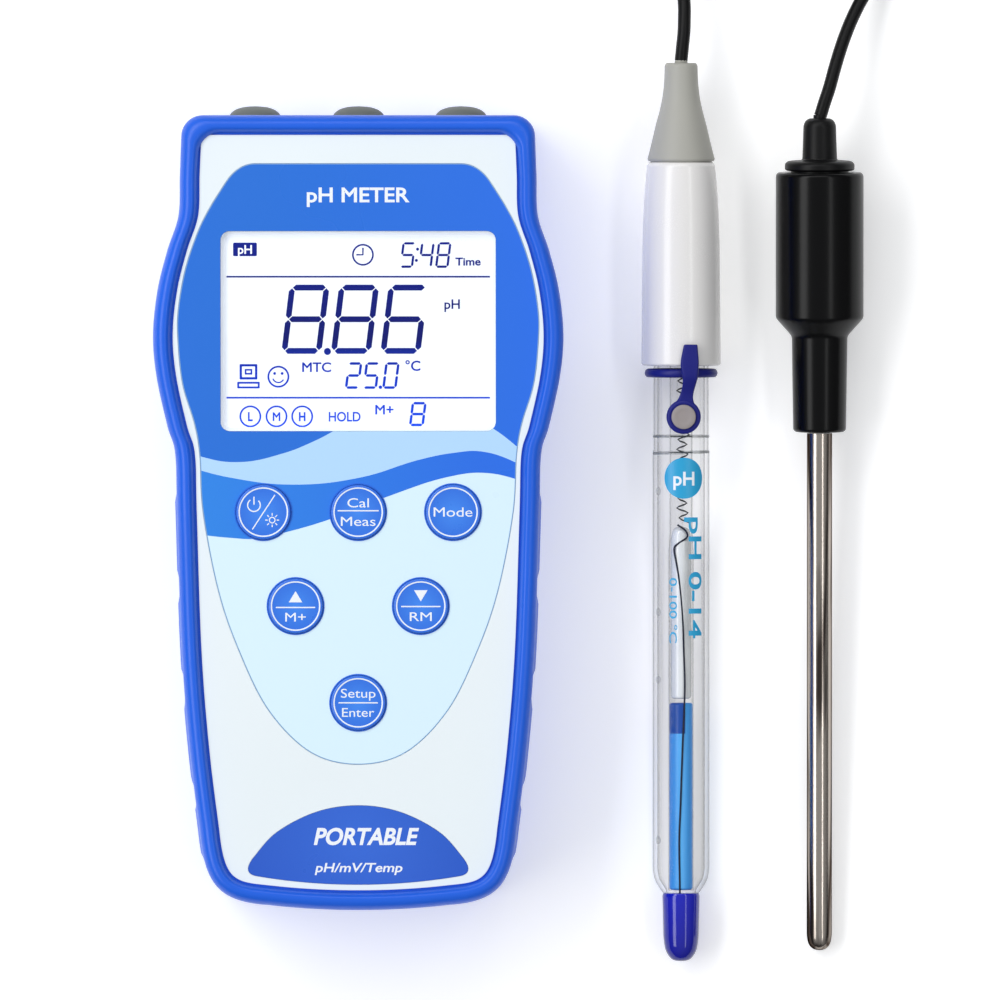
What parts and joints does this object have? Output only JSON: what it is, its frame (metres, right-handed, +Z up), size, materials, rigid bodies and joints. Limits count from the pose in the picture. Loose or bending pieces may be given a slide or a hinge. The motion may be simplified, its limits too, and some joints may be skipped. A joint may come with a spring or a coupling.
{
  "type": "ph meter",
  "caption": "Handheld pH meter in a blue rubber sleeve, laid beside its glass pH electrode and steel temperature probe, each with its own cord and plug.",
  "frame": {"origin": "centre of the bounding box of the meter, electrode and probe without their cords, on the surface they lie on", "axes": "+Z up out of the meter's face, +Y towards the meter's socket end, +X from the meter towards the electrode and the probe"},
  "size_m": [0.1644, 0.2766, 0.033],
  "materials": {
    "sleeve_rubber": "soft satin",
    "case_plastic": "satin",
    "black_rubber": "matte",
    "cord_rubber": "satin",
    "overlay_film": "semi-gloss print",
    "window_plastic": "clear gloss",
    "lcd_glass": "flat gloss",
    "diffuser": "matte",
    "key_face": "semi-gloss, white print",
    "cap_rubber": "matte",
    "mat_rubber": "matte",
    "circuit_board": "satin",
    "nickel": "polished",
    "cell_jacket": "satin",
    "screw_steel": "machined",
    "head_plastic": "semi-gloss",
    "relief_rubber": "matte",
    "electrode_glass": "clear",
    "bulb_glass": "deep gloss",
    "reference_gel": "wet",
    "wire_insulation": "gloss",
    "silver": "polished",
    "strap_silicone": "satin",
    "handle_plastic": "gloss",
    "rod_steel": "polished"
  },
  "bodies": {
    "meter": {"sleeve": "sleeve_rubber", "front_case": "case_plastic", "rear_case": "case_plastic", "case_gasket": "black_rubber", "keypad_overlay": "overlay_film", "lower_label": "overlay_film", "display_window": "window_plastic", "lcd_panel": "lcd_glass", "lcd_backlight": "diffuser", "keypad_mat": "mat_rubber", "main_board": "circuit_board", "bnc_socket": "nickel", "data_socket": "nickel", "temp_socket": "nickel", "battery_cell_1": "cell_jacket", "battery_cell_2": "cell_jacket", "battery_cell_3": "cell_jacket", "battery_contact_top": "nickel", "battery_contact_foot": "nickel", "battery_door": "case_plastic", "door_seal": "black_rubber", "door_screw_1": "screw_steel", "door_screw_2": "screw_steel", "case_screw_1": "screw_steel", "case_screw_2": "screw_steel", "case_screw_3": "screw_steel", "case_screw_4": "screw_steel"},
    "key_power": {"key_power": "key_face"},
    "key_measure": {"key_measure": "key_face"},
    "key_mode": {"key_mode": "key_face"},
    "key_up": {"key_up": "key_face"},
    "key_down": {"key_down": "key_face"},
    "key_enter": {"key_enter": "key_face"},
    "socket_cap_bnc": {"socket_cap_bnc": "cap_rubber"},
    "socket_cap_data": {"socket_cap_data": "cap_rubber"},
    "socket_cap_temp": {"socket_cap_temp": "cap_rubber"},
    "electrode": {"electrode_head": "head_plastic", "electrode_relief": "relief_rubber", "glass_tube": "electrode_glass", "sensing_bulb": "bulb_glass", "inner_tube": "electrode_glass", "reference_gel": "reference_gel", "inner_wire": "wire_insulation", "silver_wire": "silver", "strap_ring": "strap_silicone", "ph_cord": "cord_rubber", "ph_coil": "cord_rubber", "ph_cord_tail": "cord_rubber", "bnc_plug": "nickel"},
    "filling_strap": {"filling_strap": "strap_silicone", "filling_plug": "relief_rubber"},
    "bnc_collar": {"bnc_collar": "nickel"},
    "temp_probe": {"probe_handle": "handle_plastic", "probe_relief": "black_rubber", "probe_rod": "rod_steel", "temp_cord": "cord_rubber", "temp_coil": "cord_rubber", "temp_cord_tail": "cord_rubber", "phono_plug": "handle_plastic"}
  },
  "joints": [
    {"name": "key_power_press", "type": "slide", "parent": "meter", "child": "key_power", "axis": [0, 0, -1], "range_m": [0, 0.0005], "stiffness_N_per_m": 2000},
    {"name": "key_measure_press", "type": "slide", "parent": "meter", "child": "key_measure", "axis": [0, 0, -1], "range_m": [0, 0.0005], "stiffness_N_per_m": 2000},
    {"name": "key_mode_press", "type": "slide", "parent": "meter", "child": "key_mode", "axis": [0, 0, -1], "range_m": [0, 0.0005], "stiffness_N_per_m": 2000},
    {"name": "key_up_press", "type": "slide", "parent": "meter", "child": "key_up", "axis": [0, 0, -1], "range_m": [0, 0.0005], "stiffness_N_per_m": 2000},
    {"name": "key_down_press", "type": "slide", "parent": "meter", "child": "key_down", "axis": [0, 0, -1], "range_m": [0, 0.0005], "stiffness_N_per_m": 2000},
    {"name": "key_enter_press", "type": "slide", "parent": "meter", "child": "key_enter", "axis": [0, 0, -1], "range_m": [0, 0.0005], "stiffness_N_per_m": 2000},
    {"name": "cap_bnc_pull", "type": "slide", "parent": "meter", "child": "socket_cap_bnc", "axis": [0, 1, 0], "range_m": [0, 0.012]},
    {"name": "cap_data_pull", "type": "slide", "parent": "meter", "child": "socket_cap_data", "axis": [0, 1, 0], "range_m": [0, 0.012]},
    {"name": "cap_temp_pull", "type": "slide", "parent": "meter", "child": "socket_cap_temp", "axis": [0, 1, 0], "range_m": [0, 0.012]},
    {"name": "electrode_lift", "type": "slide", "parent": "meter", "child": "electrode", "axis": [0, 0, 1], "range_m": [0, 0.12]},
    {"name": "strap_open", "type": "hinge", "parent": "electrode", "child": "filling_strap", "pos_m": [0.037, 0.02795, 0.01547], "axis": [-1, 0, 0], "range_deg": [0, 80]},
    {"name": "bayonet_turn", "type": "hinge", "parent": "electrode", "child": "bnc_collar", "pos_m": [-0.06, 0.1665, 0.00725], "axis": [1, 0, 0], "continuous": true},
    {"name": "probe_lift", "type": "slide", "parent": "meter", "child": "temp_probe", "axis": [0, 0, 1], "range_m": [0, 0.12]}
  ]
}
